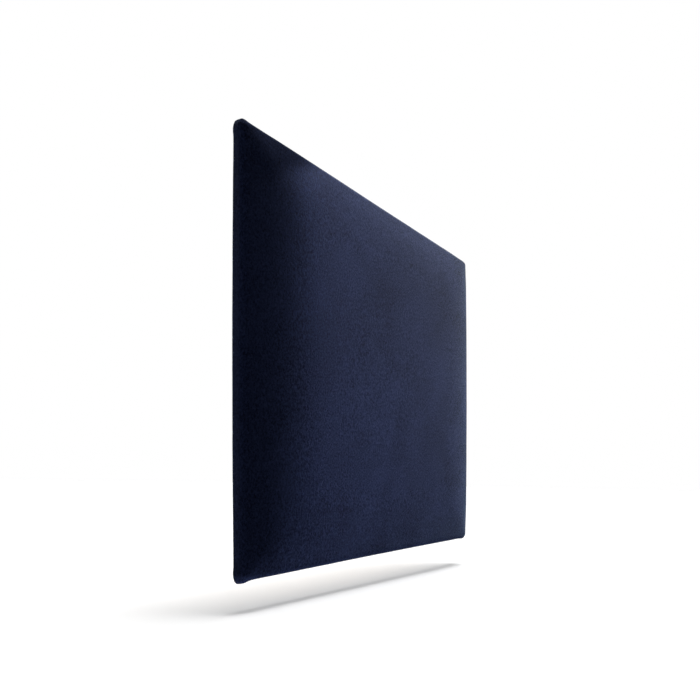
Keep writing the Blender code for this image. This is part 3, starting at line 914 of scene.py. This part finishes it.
# ---------------------------------------------------------------------------------------------
# Loose threads: the velvet's backing frays a little where the hem is cut, so short threads stand
# out of the cut edge all round. They belong to the cover.
# ---------------------------------------------------------------------------------------------
THREAD_LENGTH = 0.0028
THREAD_RADIUS = 0.00009
THREAD_SPACING = 0.0024
THREAD_BEND = 0.0005
THREAD_DRIFT = 0.0003
THREAD_SPREAD = 0.7  # radians, either way
THREAD_SHORTEST = 0.35  # as a share of the whole length
THREAD_SEED = 11


def one_thread():
    """A thread along +X from the origin, with a slight bend."""
    shares = np.linspace(0, 1, 6)
    places = [
        ((s - 0.15) * THREAD_LENGTH, THREAD_DRIFT * s * s, THREAD_BEND * math.sin(s * 2.6))
        for s in shares
    ]
    curve = poly_curve("thread", "3D", places)
    for point, share in zip(curve.splines[0].points, shares):
        point.radius = 1 - 0.4 * share
    curve.bevel_depth = THREAD_RADIUS
    curve.bevel_resolution = 0
    curve.use_fill_caps = True
    piece = place_object("thread", curve)
    mesh = evaluated_mesh(piece)
    bpy.data.objects.remove(piece)
    return place_object("thread_mesh", mesh)


def fray_maker():
    group, given, result = node_group(
        "fray",
        {
            "Thread Mesh": ("NodeSocketObject", None),
            "Spread": ("NodeSocketFloat", THREAD_SPREAD),
            "Shortest": ("NodeSocketFloat", THREAD_SHORTEST),
            "Seed": ("NodeSocketInt", THREAD_SEED),
            "Finish": ("NodeSocketMaterial", None),
        },
    )
    thread = add(group, "GeometryNodeObjectInfo", {"Object": given["Thread Mesh"]}).outputs
    turn = stored_turn(group)
    low = calculate(group, "MULTIPLY", given["Spread"], -1.0)
    swing = add(
        group,
        "FunctionNodeRandomValue",
        {"Min": low, "Max": given["Spread"], "Seed": given["Seed"]},
        data_type="FLOAT",
    )
    next_seed = calculate(group, "ADD", given["Seed"], 1)
    length = add(
        group,
        "FunctionNodeRandomValue",
        {"Min": given["Shortest"], "Max": 1.0, "Seed": next_seed},
        data_type="FLOAT",
    )
    spin = calculate(group, "ADD", turn, swing.outputs[1])
    rotation = add(group, "ShaderNodeCombineXYZ", {"Y": spin}).outputs[0]
    placed = add(
        group,
        "GeometryNodeInstanceOnPoints",
        {
            "Points": given["Mesh"],
            "Instance": thread["Geometry"],
            "Rotation": rotation,
            "Scale": length.outputs[1],
        },
    ).outputs[0]
    finish_group(group, placed, given["Finish"], result)
    return group


def cut_edge_spots():
    """Points along the hem's cut edge, each with its turn towards the middle of the back."""
    edge = velvet.points[velvet.along > velvet.along.max() - 1e-6]
    edge = edge[np.argsort(np.arctan2(edge[:, 2], edge[:, 0]))]
    closed = np.vstack([edge, edge[:1]])
    steps = np.linalg.norm(np.diff(closed, axis=0), axis=1)
    run = np.concatenate([[0], np.cumsum(steps)])
    spots = np.arange(0, run[-1], THREAD_SPACING)
    places = np.stack([np.interp(spots, run, closed[:, axis]) for axis in range(3)], axis=1)
    places[:, 1] -= VELVET_THICKNESS / 2
    further = (spots + 0.002) % run[-1]
    ahead = np.stack([np.interp(further, run, closed[:, axis]) for axis in (0, 2)], axis=1)
    heading = ahead - places[:, [0, 2]]
    inward = np.stack([-heading[:, 1], heading[:, 0]], axis=1)
    return places.tolist(), np.arctan2(-inward[:, 1], inward[:, 0])


thread = one_thread()
edge_points, edge_turns = cut_edge_spots()
fray_mesh = grow(
    fray_maker(),
    edge_points,
    {"turn": edge_turns},
    {
        "Thread Mesh": thread,
        "Spread": THREAD_SPREAD,
        "Shortest": THREAD_SHORTEST,
        "Seed": THREAD_SEED,
        "Finish": velvet_finish,
    },
)
bpy.data.objects.remove(thread)
fray_mesh.shade_smooth()
fray = new_piece("velvet_fray", fray_mesh, velvet_finish, "velvet")

# ---------------------------------------------------------------------------------------------
# The studio: a level camera to the left of the pad with its lens shifted up, and white paper a
# little below the pad that falls away to the right. A low key light from the right, light from
# above, behind and below reach the pad alone, and two suns from above light the paper alone.
# ---------------------------------------------------------------------------------------------
FLOOR_DROP = 0.047
FLOOR_FALL = 0.025  # how far the paper sinks for each metre to the right
FLOOR_REACH = 30.0
FLOOR_LIT = (0.10, 0.10, 0.10)  # what the pad receives from the paper
FLOOR_SEEN = (0.80, 0.80, 0.80)  # what the camera sees of it
FLOOR_GLOW = 0.38
WORLD_FILL = 0.045
LENS = 26.26
LENS_SHIFT = 0.175
CAMERA_PLACE = (-0.7033, -0.5493, -0.1571)
CAMERA_TURN = -49.36

camera_data = bpy.data.cameras.new("camera")
camera_data.lens = LENS
camera_data.sensor_width = 36
camera_data.shift_y = LENS_SHIFT
camera_data.dof.use_dof = False
camera = place_object("camera", camera_data)
camera.location = CAMERA_PLACE
camera.rotation_euler = (math.pi / 2, 0, math.radians(CAMERA_TURN))
bpy.context.scene.camera = camera


def make_floor():
    mesh = bpy.data.meshes.new("floor")
    far = FLOOR_REACH
    height = cad_box[0][2] - FLOOR_DROP
    corners = [(-far, -far), (far, -far), (far, far), (-far, far)]
    mesh.from_pydata([(x, y, height - FLOOR_FALL * x) for x, y in corners], [], [(0, 1, 2, 3)])
    material, tree, shader = new_material("studio_floor", 0.9)
    shader.inputs["Specular IOR Level"].default_value = 0.0
    shader.inputs["Emission Color"].default_value = (1, 1, 1, 1)
    seen = add(tree, "ShaderNodeLightPath").outputs["Is Camera Ray"]
    tone = blend_colours(tree, seen, FLOOR_LIT, FLOOR_SEEN)
    tree.links.new(tone, shader.inputs["Base Color"])
    glow = calculate(tree, "MULTIPLY", seen, FLOOR_GLOW)
    tree.links.new(glow, shader.inputs["Emission Strength"])
    mesh.materials.append(material)
    floor = place_object("floor", mesh)
    return floor


def make_world():
    world = bpy.data.worlds.new("world")
    bpy.context.scene.world = world
    world.use_nodes = True
    tree = world.node_tree
    background = tree.nodes["Background"]
    background.inputs["Color"].default_value = (1, 1, 1, 1)
    rays = add(tree, "ShaderNodeLightPath").outputs
    seen = calculate(tree, "MAXIMUM", rays["Is Camera Ray"], rays["Is Glossy Ray"])
    seen = calculate(tree, "MAXIMUM", seen, rays["Is Transmission Ray"])
    strength = remap(tree, seen, 0, 1, WORLD_FILL, 1.0)
    tree.links.new(strength, background.inputs["Strength"])


def aim(piece, target):
    direction = Vector(target) - piece.location
    piece.rotation_euler = direction.to_track_quat("-Z", "Y").to_euler()


def area_lamp(name, place, target, width, height, power, spread):
    data = bpy.data.lights.new(name, "AREA")
    data.shape = "RECTANGLE"
    data.size = width
    data.size_y = height
    data.energy = power
    data.spread = math.radians(spread)
    lamp = place_object(name, data)
    lamp.location = place
    aim(lamp, target)
    return lamp


def sun_lamp(name, towards, strength, spread):
    data = bpy.data.lights.new(name, "SUN")
    data.energy = strength
    data.angle = math.radians(spread)
    lamp = place_object(name, data)
    lamp.location = towards
    aim(lamp, (0, 0, 0))
    return lamp


def light_only(lamp, piece, lit):
    """Light linking: this lamp lights this piece alone, or everything but it."""
    group = bpy.data.collections.new(f"{lamp.name}_lights")
    group.objects.link(piece)
    group.collection_objects[0].light_linking.link_state = "INCLUDE" if lit else "EXCLUDE"
    lamp.light_linking.receiver_collection = group


floor = make_floor()
make_world()
overhead = sun_lamp("overhead", towards=(0.14, 0.0, 1.0), strength=2.9, spread=12)
light_only(overhead, floor, lit=False)
back = sun_lamp("back", towards=(0.0, 1.0, 0.22), strength=1.8, spread=20)
back.data.specular_factor = 0.1
light_only(back, floor, lit=False)
key = area_lamp(
    "key",
    place=(2.13, -0.53, 1.34),
    target=(0.21, -0.035, 0.0),
    width=0.206,
    height=0.9,
    power=1.74,
    spread=0.8,
)
light_only(key, floor, lit=False)
floor_front = sun_lamp("floor_front", towards=(0.26, -0.12, 1.0), strength=2.1, spread=22)
light_only(floor_front, floor, lit=True)
floor_rear = sun_lamp("floor_rear", towards=(0.12, 0.02, 1.0), strength=0.8, spread=34)
light_only(floor_rear, floor, lit=True)

# The bounce from below passes through the paper, which would block it.
bounce = sun_lamp("bounce", towards=(-0.1, 0.0, -1.0), strength=3.0, spread=12)
light_only(bounce, floor, lit=False)
bounce.light_linking.blocker_collection = bounce.light_linking.receiver_collection

bpy.context.scene.view_settings.view_transform = "Standard"
